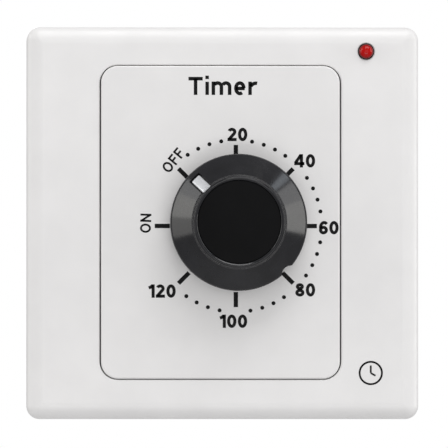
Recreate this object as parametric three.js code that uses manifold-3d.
// A spring-wound dial timer that switches a heater or fan for up to 120 minutes.
// Millimetres. X runs right, Z up and Y into the wall; the wall is the plane y = 0.
// The origin is the centre of the mounting plane, so the panel lies at negative y.
import * as THREE from "three";
import { mergeVertices } from "three/addons/utils/BufferGeometryUtils.js";
import Module from "manifold-3d";

const wasm = await Module();
wasm.setup();

// ---------------------------------------------------------------- driving dimensions

const gap = 0.3; // clearance between neighbouring pieces
const degree = Math.PI / 180;

// Panel: the cover snaps over the base, and the base's raised plate fills the cover's window.
const panelSide = 86;
const panelCornerRadius = 2.9;
const edgeRound = 2.8;
const edgeRise = 1.6;
const coverFaceY = -8.6;
const coverBackY = -0.4;
const coverWall = 1.8;
const coverFront = 2.2;
const coverInside = panelSide - 2 * coverWall;
const windowWidth = 53;
const windowHeight = 69;
const windowRadius = 3.6;
const windowX = -0.5;
const windowZ = 0.15;
const windowLip = 1.2;
const windowLipBackY = -4.8;
const hookX = 14;
const hookZ = 39.2;

const plateFaceY = -8.9;
const plateThickness = 2.2;
const plateBackY = plateFaceY + plateThickness;
const plateWidth = windowWidth - 2 * gap;
const plateHeight = windowHeight - 2 * gap;
const plateWall = 1.8;
const flangeSide = coverInside - 4 * gap;
const flangeFrontY = -2.4;
const fixingX = 30.15; // half of the 60.3 mm between the wall box's screws
const fixingWidth = 4.6;
const fixingLength = 9;
const fixingPadX = 30.5; // a raised seat round each slot takes the screw's head
const fixingPadWidth = 10;
const fixingPadLength = 15;
const fixingPadY = -2.7;

// Knob: heights are measured forward from the plate's face.
const dialX = 3.3;
const dialZ = 0;
const offAngle = -45 * degree; // the pointer at OFF, clockwise from the top
const knobRadius = 15;
const knobClearance = 0.8;
const coneFoot = { radius: 14.4, height: 7.4 };
const coneTop = { radius: 10.4, height: 10.7 };
const capRadius = 9.05;
const capRecess = { radius: capRadius + gap, floor: 11 };
const knobHeight = 11.9;
const hubRadius = 6.6;
const hubDepth = 9.3;
const pointerWidth = 2.3;
const slotHeight = 6.3; // the grub screw and its access slot
const slotWidth = 3.6;
const shaftRadius = 3;
const shaftFlat = 2.3;
const bushRadius = 4;

// Lamp, on a small board in the panel's corner, with its wires' way out of the plate
const lampX = 31.5;
const lampZ = 37.7;
const lampRadius = 1.5;
const lampLegX = 0.9;
const boardX = [26.4, 40.2];
const boardZ = [30.4, 40.4];
const boardFrontY = -4.4;
const boardBackY = -3.4;
const boardScrewX = 37.9;
const resistorX = [29.4, 33.6];
const resistorZ = 32.6;
const wireRadius = 0.45;
const wireNotchX = [17.9, 21.9];

// Works: two plates joined by four pillars, with the arbors between them.
const worksWidth = 43;
const worksHeight = 45;
const worksPlate = 1;
const frontPlateY = -1.5;
const rearPlateY = 16.5;
const arborFrontY = frontPlateY + worksPlate + gap;
const arborRearY = rearPlateY - gap;
const pivotReach = 0.9;
const pivotRadius = 0.5;
const pivotHole = pivotRadius + gap;
const pillarX = 18.8;
const pillarZ = 20;
const pillarRadius = 1.75;
const rivetRadius = 1;
const worksScrewX = 18.5;
const worksScrewZ = 12;

// Wheel train: each wheel drives the next arbor's pinion.
const gearModule = 0.4;
const pinionTeeth = 8;
const greatTeeth = 64;
const secondTeeth = 56;
const thirdTeeth = 48;
const arborRadius = 0.8;
const pinionRadius = (gearModule * pinionTeeth) / 2;
const pitchRadius = (teeth) => (gearModule * teeth) / 2;
const centreDistance = (teeth) => pitchRadius(teeth) + pinionRadius;
const polar = (from, distance, angle) => ({
  x: from.x + distance * Math.cos(angle),
  z: from.z + distance * Math.sin(angle),
});
const mainAxis = { x: dialX, z: dialZ };
const toSecond = 135 * degree;
const toThird = -109.7 * degree;
const toEscape = -75 * degree;
const toPallet = -35 * degree;
const secondAxis = polar(mainAxis, centreDistance(greatTeeth), toSecond);
const thirdAxis = polar(secondAxis, centreDistance(secondTeeth), toThird);
const escapeAxis = polar(thirdAxis, centreDistance(thirdTeeth), toEscape);
const escapeTeeth = 20;
const escapeRadius = 5;
const palletDistance = 7;
const palletAxis = polar(escapeAxis, palletDistance, toPallet);
const forkReach = 8;
const impulseRadius = 1.7;
const balanceAxis = polar(palletAxis, forkReach + impulseRadius, 0);
const balanceRadius = 5.4;
const palletArm = 4.2;
const palletSpread = 56.5 * degree;
const ratchetTeeth = 18;
const clickPivot = { radius: 9.2, angle: 20 * degree };
const springRadius = { inner: 3.7, outer: 12.2 };

// Depths of the layers between the plates.
const springY = [0.8, 6.6];
const ratchetY = [7.4, 8.8];
const greatY = [9.4, 10.8];
const thirdY = [11.6, 12.5];
const balanceY = [12, 13];
const secondY = [13.2, 14.1];
const escapeY = [14.7, 15.3];
const leverY = [15.6, 16.1];

// Switch behind the rear plate.
const camY = [20, 22.2];
const camRadius = 5.6;
const bladeY = [19.4, 23.6];
const bladeThickness = 0.4;
const movingBladeZ = 6.4;
const fixedBladeZ = 10;
const contactX = 8.6;
const blockX = [-21, -11.6];
const blockY = [18.1, 24.1];
const blockZ = [-13, 18];
const rootSlotX = -13.2; // the blades leave the block here
const terminalX = -16.5;
const terminalZ = [14, 2.6, -8.8];
const terminalRootZ = [fixedBladeZ, movingBladeZ, -5.4];
const tailY = [24.4, 24.9];

// Rear case
const caseWidth = 48;
const caseHeight = 53;
const caseWall = 1.5;
const caseFrontY = gap;
const caseBackY = 29;
const earX = 15;
const earZ = 29.5;
const earRadius = 3.1;
const earThickness = 2;
const accessRadius = 3.3; // screwdriver holes behind the terminal screws

// ---------------------------------------------------------------- materials

const finish = (color, roughness, metalness = 0) =>
  new THREE.MeshStandardMaterial({ color, roughness, metalness });
const whiteUrea = finish(0xe6e4e3, 0.4);
const baseUrea = finish(0xe2e0df, 0.42);
const blackPhenolic = finish(0x141416, 0.18);
const blackDisc = finish(0x161617, 0.35);
const silverInsert = finish(0xd4d5d8, 0.3);
const redLens = finish(0xb20a09, 0.15);
const greyCase = finish(0x3a3c3e, 0.55);
const boardLaminate = finish(0xa9854a, 0.6);
const ceramic = finish(0xcdb892, 0.6);
const redSleeve = finish(0xa82018, 0.5);
const blueSleeve = finish(0x1f4fa0, 0.5);
const brass = finish(0xc9a24e, 0.35, 1);
const steel = finish(0xb4b7ba, 0.35, 1);
const springSteel = finish(0x6f7680, 0.3, 1);
const zinc = finish(0xc6cacd, 0.35, 1);
const silver = finish(0xdadcdc, 0.25, 1);
const brownPhenolic = finish(0x4a2c1c, 0.5);
const whiteAcetal = finish(0xe9e6da, 0.45);

// ---------------------------------------------------------------- solids

// A closed geometry as a solid, welded and with its faces pointing out.
function solid(geometry) {
  geometry.deleteAttribute("normal");
  geometry.deleteAttribute("uv");
  const welded = mergeVertices(geometry, 1e-4);
  const corners = welded.attributes.position;
  const a = new THREE.Vector3();
  const b = new THREE.Vector3();
  const c = new THREE.Vector3();
  const triangles = [];
  let volume = 0;
  for (let i = 0; i < welded.index.count; i += 3) {
    const triangle = [0, 1, 2].map((k) => welded.index.getX(i + k));
    if (new Set(triangle).size < 3) continue;
    a.fromBufferAttribute(corners, triangle[0]);
    b.fromBufferAttribute(corners, triangle[1]);
    c.fromBufferAttribute(corners, triangle[2]);
    volume += a.dot(b.cross(c)) / 6;
    triangles.push(triangle);
  }
  if (volume < 0) triangles.forEach((triangle) => triangle.reverse());
  return new wasm.Manifold(
    new wasm.Mesh({
      numProp: 3,
      vertProperties: Float32Array.from(corners.array),
      triVerts: Uint32Array.from(triangles.flat()),
    }),
  );
}

const join = (...solids) => solids.reduce((whole, next) => whole.add(next));
const cut = (whole, ...tools) => tools.reduce((rest, tool) => rest.subtract(tool), whole);

// An outline seen from the front (x right, z up), as thick as the two depths say.
function slab(outline, [frontY, backY], curveSegments = 4) {
  const depth = backY - frontY;
  const geometry = new THREE.ExtrudeGeometry(outline, { depth, bevelEnabled: false, curveSegments });
  geometry.rotateX(Math.PI / 2);
  geometry.translate(0, backY, 0);
  return solid(geometry);
}

// A block between two limits on each axis.
function block([x0, x1], [y0, y1], [z0, z1]) {
  const geometry = new THREE.BoxGeometry(x1 - x0, y1 - y0, z1 - z0);
  geometry.translate((x0 + x1) / 2, (y0 + y1) / 2, (z0 + z1) / 2);
  return solid(geometry);
}

// A turned piece about the Y axis, from [radius, y] pairs that start and end on the axis.
function turned(profile, segments = 12) {
  const points = profile.map(([radius, y]) => new THREE.Vector2(radius, y));
  return solid(new THREE.LatheGeometry(points, segments));
}

// A round rod along Y.
function rod(radius, [frontY, backY], at = { x: 0, z: 0 }, segments = 12) {
  const geometry = new THREE.CylinderGeometry(radius, radius, backY - frontY, segments);
  geometry.translate(at.x, (frontY + backY) / 2, at.z);
  return solid(geometry);
}

// A round rod along Z.
function uprightRod(radius, [lowZ, highZ], at, segments = 12) {
  const geometry = new THREE.CylinderGeometry(radius, radius, highZ - lowZ, segments);
  geometry.rotateX(Math.PI / 2);
  geometry.translate(at.x, at.y, (lowZ + highZ) / 2);
  return solid(geometry);
}

// A round rod along X.
function crossRod(radius, [lowX, highX], at, segments = 10) {
  const geometry = new THREE.CylinderGeometry(radius, radius, highX - lowX, segments);
  geometry.rotateZ(Math.PI / 2);
  geometry.translate((lowX + highX) / 2, at.y, at.z);
  return solid(geometry);
}

function roundedRectangle(width, height, radius, centreX = 0, centreZ = 0) {
  const shape = new THREE.Shape();
  const x = width / 2 - radius;
  const z = height / 2 - radius;
  shape.absarc(centreX + x, centreZ + z, radius, 0, 0.5 * Math.PI);
  shape.absarc(centreX - x, centreZ + z, radius, 0.5 * Math.PI, Math.PI);
  shape.absarc(centreX - x, centreZ - z, radius, Math.PI, 1.5 * Math.PI);
  shape.absarc(centreX + x, centreZ - z, radius, 1.5 * Math.PI, 2 * Math.PI);
  return shape;
}

function ring(points) {
  return new THREE.Shape(points.map(([x, z]) => new THREE.Vector2(x, z)));
}

const group = new THREE.Group();

// Adds a solid to the model as a named mesh.
function piece(name, shape, material, { at = { x: 0, z: 0 }, turn = 0, parent = group } = {}) {
  const surface = shape.getMesh();
  const geometry = new THREE.BufferGeometry();
  geometry.setAttribute("position", new THREE.BufferAttribute(surface.vertProperties, 3));
  geometry.setIndex(new THREE.BufferAttribute(surface.triVerts, 1));
  geometry.computeVertexNormals();
  const mesh = new THREE.Mesh(geometry, material);
  mesh.name = name;
  mesh.position.set(at.x, 0, at.z);
  mesh.rotation.y = turn;
  parent.add(mesh);
}

// A cross-head screw whose head bears at seatY and points to the rear.
function screw(seatY, headRadius, headHeight, shankRadius, shankLength) {
  const body = turned(
    [
      [0, seatY + headHeight],
      [headRadius * 0.7, seatY + headHeight],
      [headRadius, seatY + headHeight * 0.55],
      [headRadius, seatY],
      [shankRadius, seatY],
      [shankRadius * 0.8, seatY - shankLength],
      [0, seatY - shankLength],
    ],
    10,
  );
  const recess = [seatY + headHeight * 0.45, seatY + headHeight + 1];
  const half = headRadius * 0.55;
  const width = headRadius * 0.13;
  return cut(
    body,
    block([-half, half], recess, [-width, width]),
    block([-width, width], recess, [-half, half]),
  );
}

// ---------------------------------------------------------------- panel

function coverFrame() {
  const spare = 1;
  const inset = panelSide - 2 * edgeRound;
  const outline = roundedRectangle(inset, inset, panelCornerRadius - edgeRound);
  const bodyGeometry = new THREE.ExtrudeGeometry(outline, {
    depth: coverBackY + spare - coverFaceY - edgeRise,
    bevelSize: edgeRound,
    bevelThickness: edgeRise,
    bevelSegments: 4,
    curveSegments: 4,
  });
  bodyGeometry.rotateX(Math.PI / 2);
  bodyGeometry.translate(0, coverBackY + spare, 0);
  const innerFaceY = coverFaceY + coverFront;
  const window = roundedRectangle(windowWidth, windowHeight, windowRadius, windowX, windowZ);
  const lip = roundedRectangle(
    windowWidth + 2 * windowLip,
    windowHeight + 2 * windowLip,
    windowRadius + windowLip,
    windowX,
    windowZ,
  );
  const cavity = slab(roundedRectangle(coverInside, coverInside, 1), [innerFaceY, 4]);
  const shell = cut(
    solid(bodyGeometry),
    block([-panelSide, panelSide], [coverBackY, 10], [-panelSide, panelSide]),
    cavity,
  );
  const hooks = [-1, 1].flatMap((side) => [-1, 1].map((end) => coverHook(side * hookX, end)));
  return cut(
    join(shell, slab(lip, [innerFaceY - gap, windowLipBackY]), ...hooks),
    slab(window, [coverFaceY - 1, 4]),
    rod(lampRadius + gap, [coverFaceY - 1, innerFaceY + 1], { x: lampX, z: lampZ }),
  );
}

// One snap hook behind the cover, with its barb facing outwards.
function coverHook(x, end) {
  const halfWidth = 2.8;
  const stem = [end * (hookZ - 0.6), end * (hookZ + 0.6)].sort((p, q) => p - q);
  const barb = [end * (hookZ - 0.6), end * (hookZ + 1.1)].sort((p, q) => p - q);
  return join(
    block([x - halfWidth, x + halfWidth], [coverFaceY + coverFront - gap, -0.7], stem),
    block([x - halfWidth, x + halfWidth], [-1.6, -0.7], barb),
  );
}

function mountingBase() {
  const flange = slab(roundedRectangle(flangeSide, flangeSide, 1.2), [flangeFrontY, 0]);
  const plate = roundedRectangle(
    plateWidth,
    plateHeight,
    windowRadius - gap,
    windowX,
    windowZ,
  );
  const cavity = roundedRectangle(
    plateWidth - 2 * plateWall,
    plateHeight - 2 * plateWall,
    windowRadius - gap - plateWall,
    windowX,
    windowZ,
  );
  const shell = cut(
    join(flange, slab(plate, [plateFaceY, 0])),
    slab(cavity, [plateBackY, 1]),
  );
  const bosses = [];
  const holes = [];
  for (const side of [-1, 1]) {
    bosses.push(slab(fixingPad(side * fixingPadX), [fixingPadY, flangeFrontY + gap]));
    holes.push(slab(fixingSlot(side * fixingX), [fixingPadY - 1, 1]));
    for (const end of [-1, 1]) {
      const ear = { x: side * earX, z: end * earZ };
      bosses.push(rod(2.6, [plateBackY - gap, 0], ear));
      holes.push(rod(1.3, [plateBackY + 1, 1], ear, 8));
      const hookHole = [end * (hookZ - 1), end * (hookZ + 1.4)].sort((p, q) => p - q);
      holes.push(
        block([side * hookX - 3.2, side * hookX + 3.2], [flangeFrontY - 1, 1], hookHole),
      );
    }
    const seat = { x: side * worksScrewX, z: side * worksScrewZ };
    bosses.push(rod(2.6, [plateBackY - gap, frontPlateY - gap], seat));
    holes.push(rod(1.35, [plateBackY + 1, frontPlateY + 1], seat, 8));
  }
  const boardBoss = { x: boardScrewX, z: lampZ };
  bosses.push(rod(1.8, [boardBackY + gap, flangeFrontY + gap], boardBoss, 12));
  holes.push(
    rod(1, [boardBackY - 1, -0.6], boardBoss, 8),
    rod(shaftRadius + 2 * gap, [plateFaceY - 1, plateBackY + 1], mainAxis),
    block(wireNotchX, [flangeFrontY - 1.9, flangeFrontY], [30, plateHeight / 2 + 1]),
  );
  return cut(join(shell, ...bosses), ...holes);
}

// The slot for one of the two fixing screws, long enough to level the panel.
function fixingSlot(x) {
  return roundedRectangle(fixingWidth, fixingLength, fixingWidth / 2 - 0.01, x, 0);
}

function fixingPad(x) {
  return roundedRectangle(fixingPadWidth, fixingPadLength, 1.5, x, 0);
}

// ---------------------------------------------------------------- lamp

function indicatorLamp() {
  const flangeY = boardFrontY - gap;
  const dome = turned(
    [
      [0, coverFaceY - 1.3],
      [0.75, coverFaceY - 1.1],
      [1.3, coverFaceY - 0.55],
      [lampRadius, coverFaceY + 0.1],
      [lampRadius, flangeY - 0.8],
      [1.9, flangeY - 0.8],
      [1.9, flangeY],
      [0, flangeY],
    ],
    16,
  );
  const legs = [-lampLegX, lampLegX].map((x) =>
    block([x - 0.2, x + 0.2], [flangeY - gap, boardBackY + 0.3], [-0.2, 0.2]),
  );
  return join(dome, ...legs);
}

function indicatorBoard() {
  const holes = [-lampLegX, lampLegX].map((x) => rod(0.5, [-6, 0], { x: lampX + x, z: lampZ }, 8));
  const pads = resistorX.map((x) => rod(0.5, [-6, 0], { x, z: resistorZ }, 8));
  const screwHole = rod(1.4, [-6, 0], { x: boardScrewX, z: lampZ }, 10);
  return cut(block(boardX, [boardFrontY, boardBackY], boardZ), ...holes, ...pads, screwHole);
}

// A resistor that stands just off the board on its two bent leads.
function indicatorResistor() {
  const bodyY = boardFrontY - 1.2;
  const [left, right] = resistorX;
  const barrel = crossRod(0.75, [left + 0.7, right - 0.7], { y: bodyY, z: resistorZ });
  const lead = crossRod(0.22, [left - 0.22, right + 0.22], { y: bodyY, z: resistorZ }, 6);
  const legs = resistorX.map((x) => rod(0.2, [bodyY, boardBackY], { x, z: resistorZ }, 6));
  return join(barrel, lead, ...legs);
}

// A sleeved wire along a list of points.
function wire(points) {
  const section = new THREE.Shape();
  section.absarc(0, 0, wireRadius, 0, 2 * Math.PI);
  const extrudePath = new THREE.CatmullRomCurve3(points.map((p) => new THREE.Vector3(...p)));
  return solid(new THREE.ExtrudeGeometry(section, { steps: 30, curveSegments: 3, extrudePath }));
}

// ---------------------------------------------------------------- knob

const knobY = (height) => plateFaceY - height;
const coneRun = coneFoot.radius - coneTop.radius;
const coneDrop = coneTop.height - coneFoot.height;
const coneLength = Math.hypot(coneRun, coneDrop);

// A point by its distance down the cone from its top edge and its rise off the surface.
function onCone(along, rise) {
  const downR = coneRun / coneLength;
  const downH = -coneDrop / coneLength;
  return [
    coneTop.radius + along * downR - rise * downH,
    coneTop.height + along * downH + rise * downR,
  ];
}

// A bar that lies on the cone, pointing to the knob's own top.
function coneBar(width, [start, end], [low, high]) {
  const outline = ring([onCone(start, low), onCone(end, low), onCone(end, high), onCone(start, high)]);
  const geometry = new THREE.ExtrudeGeometry(outline, { depth: width, bevelEnabled: false });
  geometry.translate(0, 0, -width / 2);
  geometry.applyMatrix4(
    new THREE.Matrix4().makeBasis(
      new THREE.Vector3(0, 0, 1),
      new THREE.Vector3(0, -1, 0),
      new THREE.Vector3(1, 0, 0),
    ),
  );
  geometry.translate(0, plateFaceY, 0);
  return solid(geometry);
}

function knobShell() {
  const profile = [
    [0, capRecess.floor],
    [capRecess.radius, capRecess.floor],
    [capRecess.radius, knobHeight - 0.2],
    [capRecess.radius + 0.2, knobHeight],
    [9.8, knobHeight - 0.1],
    [10.15, knobHeight - 0.5],
    [coneTop.radius, coneTop.height],
    [coneFoot.radius, coneFoot.height],
    [14.65, 7],
    [14.75, 6.4],
    [knobRadius, knobClearance + 0.4],
    [knobRadius - 0.4, knobClearance],
    [13.3, knobClearance],
    [12.8, 6.2],
    [9, hubDepth],
    [hubRadius, hubDepth],
    [hubRadius, 1.4],
    [bushRadius + gap, 1.4],
    [bushRadius + gap, hubDepth],
    [0, hubDepth],
  ];
  const body = turned(profile.map(([radius, height]) => [radius, knobY(height)]), 36);
  const groove = coneBar(pointerWidth + 2 * gap, [-0.9, 4.7], [-0.9, 4]);
  const slot = join(
    block([-slotWidth / 2, slotWidth / 2], [knobY(slotHeight), knobY(-1)], [-16, -12]),
    uprightRod(slotWidth / 2, [-16, -12], { x: 0, y: knobY(slotHeight) }),
  );
  const tapping = uprightRod(1.5 + gap, [-8, 0], { x: 0, y: knobY(slotHeight) }, 12);
  return cut(body, groove, slot, tapping);
}

function knobCap() {
  return turned(
    [
      [0, knobY(knobHeight)],
      [capRadius - 0.3, knobY(knobHeight)],
      [capRadius, knobY(knobHeight - 0.25)],
      [capRadius, knobY(capRecess.floor + gap)],
      [0, knobY(capRecess.floor + gap)],
    ],
    32,
  );
}

function knobBush() {
  const span = [knobY(hubDepth - gap), knobY(1.6)];
  const bore = cut(
    rod(shaftRadius + gap, [span[0] - 1, span[1] + 1], undefined, 16),
    block([-5, 5], [span[0] - 2, span[1] + 2], [-6, -shaftFlat - gap]),
  );
  const tapping = uprightRod(1.5 + gap, [-8, 0], { x: 0, y: knobY(slotHeight) }, 12);
  return cut(rod(bushRadius, span, undefined, 16), bore, tapping);
}

function grubScrew() {
  const body = uprightRod(1.5, [-6.2, -shaftFlat - gap], { x: 0, y: knobY(slotHeight) }, 12);
  return cut(body, block([-2, 2], [knobY(slotHeight) - 0.25, knobY(slotHeight) + 0.25], [-7, -5.4]));
}

function mainArbor() {
  const frontY = knobY(hubDepth - 2 * gap);
  const thinY = greatY[1] + 0.4;
  const shaft = turned(
    [
      [0, frontY],
      [shaftRadius - 0.4, frontY],
      [shaftRadius, frontY + 0.4],
      [shaftRadius, frontPlateY - 1.7],
      [4.4, frontPlateY - 1.7],
      [4.4, frontPlateY - gap],
      [shaftRadius, frontPlateY - gap],
      [shaftRadius, thinY],
      [2, thinY],
      [2, camY[1] + 1.6],
      [0, camY[1] + 1.6],
    ],
    18,
  );
  return cut(shaft, block([-4, 4], [frontY - 1, knobY(0)], [-6, -shaftFlat]));
}

// ---------------------------------------------------------------- wheels

// A toothed outline; tooth number 0 points along +X.
function toothedOutline(teeth, rootRadius, tipRadius, rootShare, tipShare, lean = 0) {
  const pitch = (2 * Math.PI) / teeth;
  const points = [];
  for (let tooth = 0; tooth < teeth; tooth += 1) {
    const corners = [
      [rootRadius, -rootShare / 2],
      [tipRadius, lean - tipShare / 2],
      [tipRadius, lean + tipShare / 2],
      [rootRadius, rootShare / 2],
    ];
    for (const [radius, share] of corners) {
      const angle = (tooth + share) * pitch;
      points.push([radius * Math.cos(angle), radius * Math.sin(angle)]);
    }
  }
  return ring(points);
}

// Round windows that lighten a wheel.
function lighten(outline, count, distance, radius) {
  for (let window = 0; window < count; window += 1) {
    const angle = ((window + 0.5) / count) * 2 * Math.PI;
    const hole = new THREE.Path();
    hole.absarc(distance * Math.cos(angle), distance * Math.sin(angle), radius, 0, 2 * Math.PI);
    outline.holes.push(hole);
  }
}

function bored(outline, radius) {
  const hole = new THREE.Path();
  hole.absarc(0, 0, radius, 0, 2 * Math.PI);
  outline.holes.push(hole);
}

function trainWheel(teeth, layer, boreRadius, windows) {
  const radius = pitchRadius(teeth);
  const outline = toothedOutline(teeth, radius - 0.5, radius + 0.35, 0.46, 0.2);
  bored(outline, boreRadius);
  lighten(outline, windows, radius * 0.56, radius * 0.2);
  return slab(outline, layer, 5);
}

// A pinion cut on its arbor, with a pivot at each end.
function pinionArbor([frontY, backY]) {
  const leaves = toothedOutline(pinionTeeth, pinionRadius - 0.5, pinionRadius + 0.3, 0.42, 0.16);
  return join(slab(leaves, [frontY, backY]), pivoted(arborRadius));
}

// A plain arbor between the plates.
function pivoted(radius) {
  return turned(
    [
      [0, arborFrontY - pivotReach],
      [pivotRadius, arborFrontY - pivotReach],
      [pivotRadius, arborFrontY],
      [radius, arborFrontY],
      [radius, arborRearY],
      [pivotRadius, arborRearY],
      [pivotRadius, arborRearY + pivotReach],
      [0, arborRearY + pivotReach],
    ],
    10,
  );
}

// Turns that put a wheel's tooth, and the pinion's gap, on their line of centres.
const toothTowards = (angle) => -angle;
const gapTowards = (angle) => -(angle + Math.PI + Math.PI / pinionTeeth);

const clickStud = polar({ x: 0, z: 0 }, clickPivot.radius, clickPivot.angle);

function greatWheel() {
  const wheel = trainWheel(greatTeeth, greatY, shaftRadius + gap, 3);
  return join(wheel, rod(0.7, [ratchetY[0] - 0.2, greatY[0] + gap], clickStud, 10));
}

function ratchetWheel() {
  const outline = toothedOutline(ratchetTeeth, 5.1, 6, 0.9, 0.06, 0.4);
  bored(outline, shaftRadius + gap);
  return slab(outline, ratchetY, 8);
}

// A pawl with a sprung tail; its nose stands just clear of the ratchet's tips.
function click() {
  const nose = polar({ x: 0, z: 0 }, 6.35, 62 * degree);
  const outer = polar({ x: 0, z: 0 }, 8, 52 * degree);
  const tail = polar({ x: 0, z: 0 }, 11, -14 * degree);
  const outline = new THREE.Shape();
  const back = polar(clickStud, 1.6, 200 * degree);
  const front = polar(clickStud, 1.6, 60 * degree);
  outline.moveTo(nose.x, nose.z);
  outline.lineTo(back.x, back.z);
  outline.quadraticCurveTo(clickStud.x - 0.6, clickStud.z - 2.2, tail.x - 0.3, tail.z);
  outline.lineTo(tail.x + 0.2, tail.z);
  outline.quadraticCurveTo(clickStud.x + 1.9, clickStud.z - 1.2, front.x, front.z);
  outline.lineTo(outer.x, outer.z);
  const hole = new THREE.Path();
  hole.absarc(clickStud.x, clickStud.z, 1, 0, 2 * Math.PI);
  outline.holes.push(hole);
  return slab(outline, ratchetY, 5);
}

// A flat spiral strip between two radii.
function spiral([innerRadius, outerRadius], turns, thickness, layer, stepsPerTurn) {
  const steps = turns * stepsPerTurn;
  const inner = [];
  const outer = [];
  for (let step = 0; step <= steps; step += 1) {
    const angle = (step / stepsPerTurn) * 2 * Math.PI;
    const radius = innerRadius + ((outerRadius - innerRadius) * step) / steps;
    inner.push([radius * Math.cos(angle), radius * Math.sin(angle)]);
    outer.push([(radius + thickness) * Math.cos(angle), (radius + thickness) * Math.sin(angle)]);
  }
  return slab(ring([...inner, ...outer.reverse()]), layer);
}

function escapeWheel() {
  const outline = toothedOutline(escapeTeeth, 3.9, escapeRadius, 0.6, 0.1, 0.25);
  bored(outline, arborRadius + gap);
  lighten(outline, 3, 2.6, 0.8);
  return slab(outline, escapeY, 4);
}

// The lever rocks on its staff: two pins face the escape wheel and a fork takes the impulse pin.
function palletLever() {
  const towardsEscape = toPallet + Math.PI;
  const tips = [-1, 1].map((side) =>
    polar({ x: 0, z: 0 }, palletArm, towardsEscape + side * palletSpread),
  );
  const arms = tips.map((tip) => bar({ x: 0, z: 0 }, tip, 1.1, leverY));
  const pins = tips.map((tip) => rod(0.35, [escapeY[0] - 0.2, leverY[1]], tip, 8));
  const stem = bar({ x: 0, z: 0 }, { x: forkReach - 0.5, z: 0 }, 1, leverY);
  const fork = block([forkReach - 1.6, forkReach + 0.6], leverY, [-1.15, 1.15]);
  const slot = block([forkReach - 0.8, forkReach + 2], [leverY[0] - 1, leverY[1] + 1], [-0.55, 0.55]);
  const hub = rod(1.7, leverY);
  const bore = rod(arborRadius + gap, [leverY[0] - 1, leverY[1] + 1], undefined, 10);
  return cut(join(hub, ...arms, ...pins, stem, fork), slot, bore);
}

// A straight bar between two points of a layer.
function bar(from, to, width, layer) {
  const length = Math.hypot(to.x - from.x, to.z - from.z);
  const geometry = new THREE.BoxGeometry(length, layer[1] - layer[0], width);
  geometry.translate(length / 2, 0, 0);
  geometry.rotateY(-Math.atan2(to.z - from.z, to.x - from.x));
  geometry.translate(from.x, (layer[0] + layer[1]) / 2, from.z);
  return solid(geometry);
}

function balanceWheel() {
  const rim = new THREE.Shape();
  rim.absarc(0, 0, balanceRadius, 0, 2 * Math.PI);
  bored(rim, balanceRadius - 1.1);
  const spokes = block([-balanceRadius + 0.6, balanceRadius - 0.6], balanceY, [-0.6, 0.6]);
  const hub = rod(1.6, balanceY);
  const bore = rod(arborRadius + gap, [balanceY[0] - 1, balanceY[1] + 1], undefined, 10);
  return cut(join(slab(rim, balanceY, 14), spokes, hub), bore);
}

// The balance's staff with the roller that carries the impulse pin.
function balanceStaff() {
  return join(
    pivoted(arborRadius - 0.2),
    rod(2.3, [balanceY[1] + 0.6, balanceY[1] + 1.3], undefined, 14),
    rod(0.3, [balanceY[1] + 1, leverY[1]], { x: -impulseRadius, z: 0 }, 8),
  );
}

// ---------------------------------------------------------------- works frame

const fourPlaces = (x, z) => [-1, 1].flatMap((side) => [-1, 1].map((end) => ({ x: side * x, z: end * z })));
const pillarPlaces = fourPlaces(pillarX, pillarZ);
const pivotPlaces = [secondAxis, thirdAxis, escapeAxis, palletAxis, balanceAxis];

function worksPlateBlank(frontY) {
  const layer = [frontY, frontY + worksPlate];
  const through = [frontY - 1, frontY + worksPlate + 1];
  const holes = [
    ...pillarPlaces.map((place) => rod(rivetRadius + gap, through, place, 8)),
    ...pivotPlaces.map((place) => rod(pivotHole, through, place, 8)),
  ];
  return cut(slab(roundedRectangle(worksWidth, worksHeight, 2), layer), ...holes);
}

function frontPlate() {
  const through = [frontPlateY - 1, frontPlateY + 3];
  const springPost = polar(mainAxis, springRadius.outer + 1.4, 0);
  const screwHoles = [-1, 1].map((side) =>
    rod(1.6, through, { x: side * worksScrewX, z: side * worksScrewZ }, 8),
  );
  const plate = join(worksPlateBlank(frontPlateY), rod(0.7, [frontPlateY, springY[1]], springPost, 8));
  return cut(plate, ...screwHoles, rod(shaftRadius + gap, through, mainAxis, 16));
}

function rearPlate() {
  const through = [rearPlateY - 1, rearPlateY + 3];
  const pegs = pegPlaces.map((place) => rod(1.5, through, place, 8));
  return cut(worksPlateBlank(rearPlateY), ...pegs, rod(2 + gap, through, mainAxis));
}

function pillar() {
  const endReach = 1.2;
  return turned(
    [
      [0, arborFrontY - endReach],
      [rivetRadius, arborFrontY - endReach],
      [rivetRadius, arborFrontY],
      [pillarRadius, arborFrontY],
      [pillarRadius, arborRearY],
      [rivetRadius, arborRearY],
      [rivetRadius, arborRearY + endReach],
      [0, arborRearY + endReach],
    ],
    10,
  );
}

// ---------------------------------------------------------------- switch

const pegPlaces = [blockZ[0] + 2.5, blockZ[1] - 2.5].map((z) => ({ x: blockX[1] - 1.8, z }));

// The cam holds the contacts closed all round, except where its notch faces them at OFF.
function switchCam() {
  const outline = new THREE.Shape();
  const halfNotch = 16 * degree;
  const up = 90 * degree;
  outline.absarc(0, 0, camRadius, up + halfNotch, up - halfNotch + 2 * Math.PI);
  outline.lineTo(0, camRadius - 1.3);
  bored(outline, 2 + gap);
  return slab(outline, camY, 14);
}

function switchBlock() {
  const body = block(blockX, blockY, blockZ);
  const pegs = pegPlaces.map((place) => rod(1.2, [rearPlateY + 0.1, blockY[0] + gap], place, 8));
  const slots = terminalRootZ.map((z) =>
    block([blockX[0] + 0.6, blockX[1] + 1], [bladeY[0] - gap, 26], [z - gap, z + bladeThickness + gap]),
  );
  const tappings = terminalZ.map((z) => rod(1.6, [blockY[0] + 0.8, 26], { x: terminalX, z }, 8));
  return cut(join(body, ...pegs), ...slots, ...tappings);
}

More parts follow.
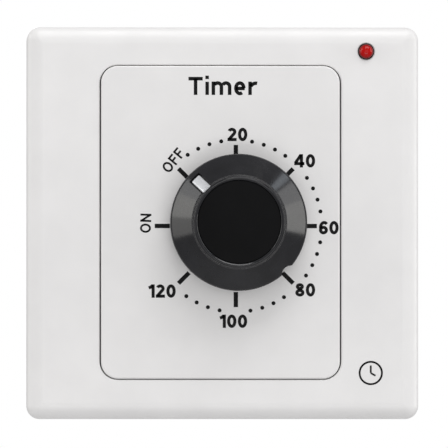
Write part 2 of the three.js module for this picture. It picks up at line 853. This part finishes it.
// A strip let into the block, bent over the block's rear face and drilled for its screw.
function terminal(rootZ, screwZ) {
  const stripX = [blockX[0] + 1, rootSlotX - 0.8];
  const tailZ = screwZ > rootZ ? [rootZ, screwZ + 2.8] : [screwZ - 2.8, rootZ + bladeThickness];
  const strip = block(stripX, [bladeY[0], tailY[1]], [rootZ, rootZ + bladeThickness]);
  const tail = block([stripX[0], rootSlotX], tailY, tailZ);
  return cut(join(strip, tail), rod(1.7, [tailY[0] - 1, tailY[1] + 1], { x: terminalX, z: screwZ }, 10));
}

function blade(lowZ) {
  const strip = block([rootSlotX - 0.2, 11.6], bladeY, [lowZ, lowZ + bladeThickness]);
  const middleY = (bladeY[0] + bladeY[1]) / 2;
  return cut(strip, uprightRod(0.9, [lowZ - 1, lowZ + 1], { x: contactX, y: middleY }, 8));
}

function movingBlade() {
  const heel = block([dialX - 0.8, dialX + 0.8], bladeY, [camRadius + gap, movingBladeZ + 0.1]);
  return join(blade(movingBladeZ), heel);
}

function fixedBlade() {
  const bridge = block([blockX[0] + 1, rootSlotX], bladeY, [fixedBladeZ, fixedBladeZ + bladeThickness]);
  return join(blade(fixedBladeZ), bridge, terminal(fixedBladeZ, terminalZ[0]));
}

// A contact rivet in a blade: its face looks up when side is 1 and down when side is -1.
function contact(bladeZ, side) {
  const faceHeight = 0.7;
  const middle = bladeZ + bladeThickness / 2;
  const seat = bladeThickness / 2 + 0.2;
  const geometry = new THREE.LatheGeometry(
    [
      [0, seat + faceHeight],
      [1, seat + faceHeight],
      [1.3, seat + faceHeight * 0.6],
      [1.3, seat],
      [0.6, seat],
      [0.6, -seat],
      [1.1, -seat],
      [0.9, -seat - 0.4],
      [0, -seat - 0.4],
    ].map(([radius, height]) => new THREE.Vector2(radius, height)),
    10,
  );
  geometry.rotateX((side * Math.PI) / 2);
  geometry.translate(contactX, (bladeY[0] + bladeY[1]) / 2, middle);
  return solid(geometry);
}

// ---------------------------------------------------------------- rear case

function rearCase() {
  const outer = slab(roundedRectangle(caseWidth, caseHeight, 3), [caseFrontY, caseBackY]);
  const inner = roundedRectangle(caseWidth - 2 * caseWall, caseHeight - 2 * caseWall, 1.5);
  const ears = [];
  const holes = [slab(inner, [caseFrontY - 1, caseBackY - caseWall])];
  for (const ear of fourPlaces(earX, earZ)) {
    const root = [Math.sign(ear.z) * (caseHeight / 2 - 0.5), ear.z].sort((p, q) => p - q);
    const layer = [caseFrontY, caseFrontY + earThickness];
    ears.push(rod(earRadius, layer, ear), block([ear.x - earRadius, ear.x + earRadius], layer, root));
    holes.push(rod(1.7, [-1, 4], ear, 10));
  }
  for (const z of terminalZ) {
    holes.push(rod(accessRadius, [caseBackY - 3, caseBackY + 1], { x: terminalX, z }, 16));
    holes.push(crossRod(1.7, [-caseWidth / 2 - 1, -caseWidth / 2 + 2], { y: tailY[1] + 1.1, z }));
  }
  return cut(join(outer, ...ears), ...holes);
}

// ---------------------------------------------------------------- assembly

piece("cover_frame", coverFrame(), whiteUrea);
piece("mounting_base", mountingBase(), baseUrea);

const dial = new THREE.Group();
dial.position.set(dialX, 0, dialZ);
dial.rotation.y = offAngle;
group.add(dial);
piece("knob", knobShell(), blackPhenolic, { parent: dial });
piece("knob_cap", knobCap(), blackDisc, { parent: dial });
piece("knob_pointer", coneBar(pointerWidth, [-0.5, 4.2], [-0.6, 0.1]), silverInsert, { parent: dial });
piece("knob_bush", knobBush(), brass, { parent: dial });
piece("knob_grub_screw", grubScrew(), springSteel, { parent: dial });
piece("main_arbor", mainArbor(), steel, { parent: dial });
piece("ratchet_wheel", ratchetWheel(), steel, { parent: dial });

const boardScrew = screw(0, 1.7, 1, 0.7, 3);
piece("indicator_lamp", indicatorLamp(), redLens, { at: { x: lampX, z: lampZ } });
piece("indicator_board", indicatorBoard(), boardLaminate);
piece("indicator_resistor", indicatorResistor(), ceramic);
piece(
  "board_screw",
  boardScrew.rotate([180, 0, 0]).translate([boardScrewX, boardFrontY - 0.1, lampZ]),
  zinc,
);
piece(
  "lamp_wire_live",
  wire([
    [25.9, -3.9, 37.4],
    [22.6, -3.6, 37],
    [20.9, -3.35, 34.6],
    [20.7, -3.2, 29.5],
    [20.4, -1.6, 25.4],
    [20.3, 1.4, 23.8],
    [20.2, 8, 23.8],
    [19.9, 15, 23.8],
    [17.5, 19.6, 23.4],
    [9, 22.4, 21.6],
    [-2, 24.8, 18.4],
    [-9, 25.6, 15],
    [-13.4, 25.7, 14],
  ]),
  redSleeve,
);
piece(
  "lamp_wire_neutral",
  wire([
    [25.9, -3.9, 39],
    [21.6, -3.6, 38.6],
    [19.1, -3.35, 35.4],
    [19, -3.2, 28.8],
    [19, -1.6, 25.2],
    [18.9, 1.4, 23.7],
    [18.8, 8, 23.7],
    [18.4, 15, 23.7],
    [16, 18.9, 22.4],
    [9.5, 21.4, 19],
    [1.5, 25, 14.5],
    [-5.5, 26.2, 7],
    [-9.2, 26.2, -1],
    [-11.2, 25.8, -7.4],
    [-13.4, 25.7, -8.8],
  ]),
  blueSleeve,
);

piece("front_plate", frontPlate(), zinc);
piece("rear_plate", rearPlate(), zinc);
pillarPlaces.forEach((place, i) => piece(`pillar_${i + 1}`, pillar(), steel, { at: place }));
[-1, 1].forEach((side, i) =>
  piece(`works_screw_${i + 1}`, screw(frontPlateY + worksPlate + 0.1, 2.3, 1.2, 1.1, 5), zinc, {
    at: { x: side * worksScrewX, z: side * worksScrewZ },
  }),
);

piece("mainspring", spiral([springRadius.inner, springRadius.outer], 6, 0.35, springY, 16), springSteel, {
  at: mainAxis,
});
piece("great_wheel", greatWheel(), brass, { at: mainAxis, turn: toothTowards(toSecond) });
piece("click", click(), steel, { at: mainAxis, turn: toothTowards(toSecond) });
piece("second_pinion", pinionArbor([greatY[0] - 0.4, greatY[1] + 0.4]), steel, {
  at: secondAxis,
  turn: gapTowards(toSecond),
});
piece("second_wheel", trainWheel(secondTeeth, secondY, arborRadius + gap, 4), brass, {
  at: secondAxis,
  turn: toothTowards(toThird),
});
piece("third_pinion", pinionArbor([secondY[0] - 0.4, secondY[1] + 0.4]), steel, {
  at: thirdAxis,
  turn: gapTowards(toThird),
});
piece("third_wheel", trainWheel(thirdTeeth, thirdY, arborRadius + gap, 4), brass, {
  at: thirdAxis,
  turn: toothTowards(toEscape),
});
piece("escape_pinion", pinionArbor([thirdY[0] - 0.4, thirdY[1] + 0.4]), steel, {
  at: escapeAxis,
  turn: gapTowards(toEscape),
});
piece("escape_wheel", escapeWheel(), brass, { at: escapeAxis });
piece("pallet_staff", pivoted(arborRadius), steel, { at: palletAxis });
piece("pallet_lever", palletLever(), brass, { at: palletAxis });
piece("balance_staff", balanceStaff(), steel, { at: balanceAxis });
piece("balance_wheel", balanceWheel(), brass, { at: balanceAxis });
piece("hairspring", spiral([1.2, 3.2], 3, 0.18, [11, 11.5], 12), springSteel, { at: balanceAxis });

piece("switch_cam", switchCam(), whiteAcetal, { at: mainAxis });
piece("switch_block", switchBlock(), brownPhenolic);
piece("moving_blade", movingBlade(), brass);
piece("moving_contact", contact(movingBladeZ, 1), silver);
piece("fixed_blade", fixedBlade(), brass);
piece("fixed_contact", contact(fixedBladeZ, -1), silver);
piece("common_terminal", terminal(movingBladeZ, terminalZ[1]), brass);
piece("neutral_terminal", terminal(terminalRootZ[2], terminalZ[2]), brass);
terminalZ.forEach((z, i) =>
  piece(`terminal_screw_${i + 1}`, screw(tailY[1] + 0.1, 2.4, 1.3, 1.35, 5.4), zinc, {
    at: { x: terminalX, z },
  }),
);

piece("rear_case", rearCase(), greyCase);
fourPlaces(earX, earZ).forEach((place, i) =>
  piece(`case_screw_${i + 1}`, screw(caseFrontY + earThickness + 0.1, 2.6, 1.4, 1.05, 6.8), zinc, {
    at: place,
  }),
);

export default group;
